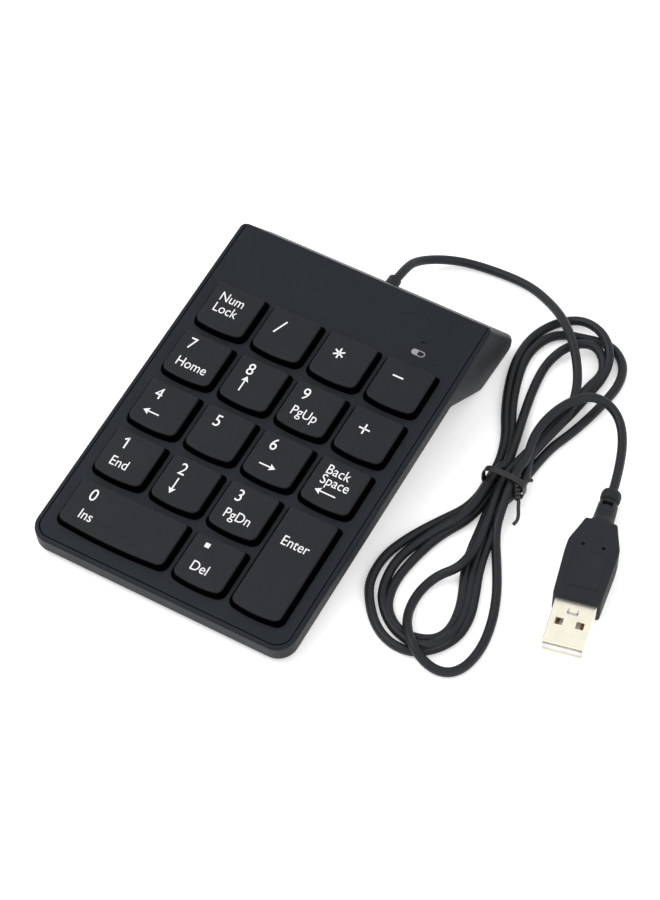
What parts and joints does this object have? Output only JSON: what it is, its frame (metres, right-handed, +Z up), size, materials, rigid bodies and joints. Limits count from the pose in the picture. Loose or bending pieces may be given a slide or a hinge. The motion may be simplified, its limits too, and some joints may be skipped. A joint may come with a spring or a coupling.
{
  "type": "numeric keypad",
  "caption": "Low wedge-shaped numeric keypad with bowed keys in a four-column grid and a thin cord folded in a tied hank that ends in a flat plug.",
  "frame": {"origin": "centre of the underside of the keypad's bounding box, without the cord and plug, on the table it stands on", "axes": "+Z up from the table; +Y from the typist towards the back, where the cord leaves; +X to the typist's right"},
  "size_m": [0.1546, 0.1601, 0.0243],
  "materials": {
    "case_plastic": "fine even grain, satin",
    "keycap_plastic": "soft-touch satin",
    "dome_silicone": "translucent white silicone, matte",
    "foot_rubber": "matte",
    "screw_steel": "zinc-plated",
    "membrane_film": "clear film with printed silver tracks",
    "board_laminate": "green solder mask",
    "inner_plastic": "plain",
    "chip_body": "moulded epoxy",
    "component_metal": "plain",
    "lamp_lens": "diffused green",
    "connector_plastic": "natural nylon",
    "wire_sleeve": "thin PVC sleeves",
    "cord_jacket": "black PVC, satin",
    "tie_plastic": "black coated wire",
    "plug_plastic": "black PVC overmould, satin",
    "shell_metal": "bright nickel plate",
    "tongue_plastic": "white, plain",
    "contact_metal": "gold flash",
    "legend_ink": "white printed ink"
  },
  "bodies": {
    "housing": {"bottom_case": "case_plastic", "top_cover": "case_plastic", "rubber_feet": "foot_rubber", "case_screws": "screw_steel", "membrane_bottom": "membrane_film", "membrane_spacer": "membrane_film", "membrane_top": "membrane_film", "circuit_board": "board_laminate", "clamp_bar": "inner_plastic", "board_screws": "screw_steel", "controller_chip": "chip_body", "board_components": "component_metal", "indicator_lamp": "lamp_lens", "wire_connector": "connector_plastic", "lead_wires": "wire_sleeve", "cable_grommet": "cord_jacket", "cord_lead_in": "cord_jacket", "cord_hank": "cord_jacket", "cord_lead_out": "cord_jacket", "twist_tie": "tie_plastic", "plug_grip": "plug_plastic", "usb_shell": "shell_metal", "usb_tongue": "tongue_plastic", "usb_contacts": "contact_metal", "dome_0": "dome_silicone", "dome_decimal": "dome_silicone", "dome_enter": "dome_silicone", "dome_1": "dome_silicone", "dome_2": "dome_silicone", "dome_3": "dome_silicone", "dome_4": "dome_silicone", "dome_5": "dome_silicone", "dome_6": "dome_silicone", "dome_backspace": "dome_silicone", "dome_7": "dome_silicone", "dome_8": "dome_silicone", "dome_9": "dome_silicone", "dome_plus": "dome_silicone", "dome_num_lock": "dome_silicone", "dome_divide": "dome_silicone", "dome_multiply": "dome_silicone", "dome_minus": "dome_silicone"},
    "0_key": {"key_0": "keycap_plastic"},
    "decimal_key": {"key_decimal": "keycap_plastic"},
    "enter_key": {"key_enter": "keycap_plastic"},
    "1_key": {"key_1": "keycap_plastic"},
    "2_key": {"key_2": "keycap_plastic"},
    "3_key": {"key_3": "keycap_plastic"},
    "4_key": {"key_4": "keycap_plastic"},
    "5_key": {"key_5": "keycap_plastic"},
    "6_key": {"key_6": "keycap_plastic"},
    "backspace_key": {"key_backspace": "keycap_plastic"},
    "7_key": {"key_7": "keycap_plastic"},
    "8_key": {"key_8": "keycap_plastic"},
    "9_key": {"key_9": "keycap_plastic"},
    "plus_key": {"key_plus": "keycap_plastic"},
    "num_lock_key": {"key_num_lock": "keycap_plastic"},
    "divide_key": {"key_divide": "keycap_plastic"},
    "multiply_key": {"key_multiply": "keycap_plastic"},
    "minus_key": {"key_minus": "keycap_plastic"}
  },
  "joints": [
    {"name": "press_0", "type": "slide", "parent": "housing", "child": "0_key", "axis": [0, 0.1392, -0.9903], "range_m": [0, 0.0022], "stiffness_N_per_m": 200, "springref_m": -0.001, "deforming": ["dome_0"]},
    {"name": "press_decimal", "type": "slide", "parent": "housing", "child": "decimal_key", "axis": [0, 0.1392, -0.9903], "range_m": [0, 0.0022], "stiffness_N_per_m": 200, "springref_m": -0.001, "deforming": ["dome_decimal"]},
    {"name": "press_enter", "type": "slide", "parent": "housing", "child": "enter_key", "axis": [0, 0.1392, -0.9903], "range_m": [0, 0.0022], "stiffness_N_per_m": 200, "springref_m": -0.001, "deforming": ["dome_enter"]},
    {"name": "press_1", "type": "slide", "parent": "housing", "child": "1_key", "axis": [0, 0.1392, -0.9903], "range_m": [0, 0.0022], "stiffness_N_per_m": 200, "springref_m": -0.001, "deforming": ["dome_1"]},
    {"name": "press_2", "type": "slide", "parent": "housing", "child": "2_key", "axis": [0, 0.1392, -0.9903], "range_m": [0, 0.0022], "stiffness_N_per_m": 200, "springref_m": -0.001, "deforming": ["dome_2"]},
    {"name": "press_3", "type": "slide", "parent": "housing", "child": "3_key", "axis": [0, 0.1392, -0.9903], "range_m": [0, 0.0022], "stiffness_N_per_m": 200, "springref_m": -0.001, "deforming": ["dome_3"]},
    {"name": "press_4", "type": "slide", "parent": "housing", "child": "4_key", "axis": [0, 0.1392, -0.9903], "range_m": [0, 0.0022], "stiffness_N_per_m": 200, "springref_m": -0.001, "deforming": ["dome_4"]},
    {"name": "press_5", "type": "slide", "parent": "housing", "child": "5_key", "axis": [0, 0.1392, -0.9903], "range_m": [0, 0.0022], "stiffness_N_per_m": 200, "springref_m": -0.001, "deforming": ["dome_5"]},
    {"name": "press_6", "type": "slide", "parent": "housing", "child": "6_key", "axis": [0, 0.1392, -0.9903], "range_m": [0, 0.0022], "stiffness_N_per_m": 200, "springref_m": -0.001, "deforming": ["dome_6"]},
    {"name": "press_backspace", "type": "slide", "parent": "housing", "child": "backspace_key", "axis": [0, 0.1392, -0.9903], "range_m": [0, 0.0022], "stiffness_N_per_m": 200, "springref_m": -0.001, "deforming": ["dome_backspace"]},
    {"name": "press_7", "type": "slide", "parent": "housing", "child": "7_key", "axis": [0, 0.1392, -0.9903], "range_m": [0, 0.0022], "stiffness_N_per_m": 200, "springref_m": -0.001, "deforming": ["dome_7"]},
    {"name": "press_8", "type": "slide", "parent": "housing", "child": "8_key", "axis": [0, 0.1392, -0.9903], "range_m": [0, 0.0022], "stiffness_N_per_m": 200, "springref_m": -0.001, "deforming": ["dome_8"]},
    {"name": "press_9", "type": "slide", "parent": "housing", "child": "9_key", "axis": [0, 0.1392, -0.9903], "range_m": [0, 0.0022], "stiffness_N_per_m": 200, "springref_m": -0.001, "deforming": ["dome_9"]},
    {"name": "press_plus", "type": "slide", "parent": "housing", "child": "plus_key", "axis": [0, 0.1392, -0.9903], "range_m": [0, 0.0022], "stiffness_N_per_m": 200, "springref_m": -0.001, "deforming": ["dome_plus"]},
    {"name": "press_num_lock", "type": "slide", "parent": "housing", "child": "num_lock_key", "axis": [0, 0.1392, -0.9903], "range_m": [0, 0.0022], "stiffness_N_per_m": 200, "springref_m": -0.001, "deforming": ["dome_num_lock"]},
    {"name": "press_divide", "type": "slide", "parent": "housing", "child": "divide_key", "axis": [0, 0.1392, -0.9903], "range_m": [0, 0.0022], "stiffness_N_per_m": 200, "springref_m": -0.001, "deforming": ["dome_divide"]},
    {"name": "press_multiply", "type": "slide", "parent": "housing", "child": "multiply_key", "axis": [0, 0.1392, -0.9903], "range_m": [0, 0.0022], "stiffness_N_per_m": 200, "springref_m": -0.001, "deforming": ["dome_multiply"]},
    {"name": "press_minus", "type": "slide", "parent": "housing", "child": "minus_key", "axis": [0, 0.1392, -0.9903], "range_m": [0, 0.0022], "stiffness_N_per_m": 200, "springref_m": -0.001, "deforming": ["dome_minus"]}
  ]
}
